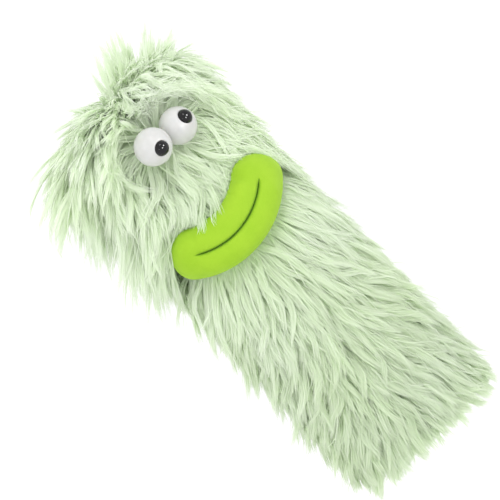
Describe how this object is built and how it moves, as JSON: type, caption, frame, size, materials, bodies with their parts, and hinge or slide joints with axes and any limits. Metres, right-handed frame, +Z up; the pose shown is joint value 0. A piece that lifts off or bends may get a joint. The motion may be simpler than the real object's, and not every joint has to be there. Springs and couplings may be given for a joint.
{
  "type": "moving mouth puppet",
  "caption": "Long-pile furry hand puppet: a padded, lined sleeve with a head that tilts and a jaw that drops, soft padded lips and ball eyes on shanks.",
  "frame": {"origin": "middle of the hand opening, in the plane of the hem", "axes": "+Z up along the sleeve to the crown, -Y the way the face looks, +X to the right as the viewer faces the mouth"},
  "size_m": [0.1076, 0.0874, 0.2404],
  "materials": {
    "pile_fabric": "matte",
    "lip_plush": "matte",
    "lining_fabric": "matte",
    "wadding": "matte",
    "mouth_cloth": "matte",
    "mouth_board": "matte",
    "sewn_tape": "matte",
    "eye_shell": "satin",
    "pupil_black": "gloss",
    "washer_plastic": "matte"
  },
  "bodies": {
    "sleeve": {"sleeve_front_panel": "pile_fabric", "sleeve_back_panel": "pile_fabric", "sleeve_padding": "wadding", "sleeve_lining": "lining_fabric", "hem_facing": "sewn_tape", "mouth_fold_welt": "sewn_tape", "nape_fold": "pile_fabric", "chin_fold": "pile_fabric"},
    "head": {"head_front_panel": "pile_fabric", "head_back_panel": "pile_fabric", "crown_tuft": "pile_fabric", "side_locks": "pile_fabric", "head_padding": "wadding", "finger_pocket": "lining_fabric", "upper_mouth_plate": "mouth_board", "mouth_roof_lining": "mouth_cloth", "upper_lip_cover": "lip_plush", "upper_lip_filling": "wadding", "left_eyeball": "eye_shell", "left_pupil": "pupil_black", "left_eye_washer": "washer_plastic", "right_eyeball": "eye_shell", "right_pupil": "pupil_black", "right_eye_washer": "washer_plastic"},
    "jaw": {"chin_panel": "pile_fabric", "thumb_pocket": "lining_fabric", "lower_mouth_plate": "mouth_board", "mouth_floor_lining": "mouth_cloth", "lower_lip_cover": "lip_plush", "lower_lip_filling": "wadding"}
  },
  "joints": [
    {"name": "head_tilt", "type": "hinge", "parent": "sleeve", "child": "head", "pos_m": [0, 0, 0.145], "axis": [-1, 0, 0], "range_deg": [0, 25], "stiffness_Nm_per_rad": 0.12, "springref_deg": -20.05, "deforming": ["nape_fold"]},
    {"name": "jaw_drop", "type": "hinge", "parent": "sleeve", "child": "jaw", "pos_m": [0, 0, 0.145], "axis": [1, 0, 0], "range_deg": [0, 25], "stiffness_Nm_per_rad": 0.05, "springref_deg": -20.05, "deforming": ["chin_fold"]}
  ]
}
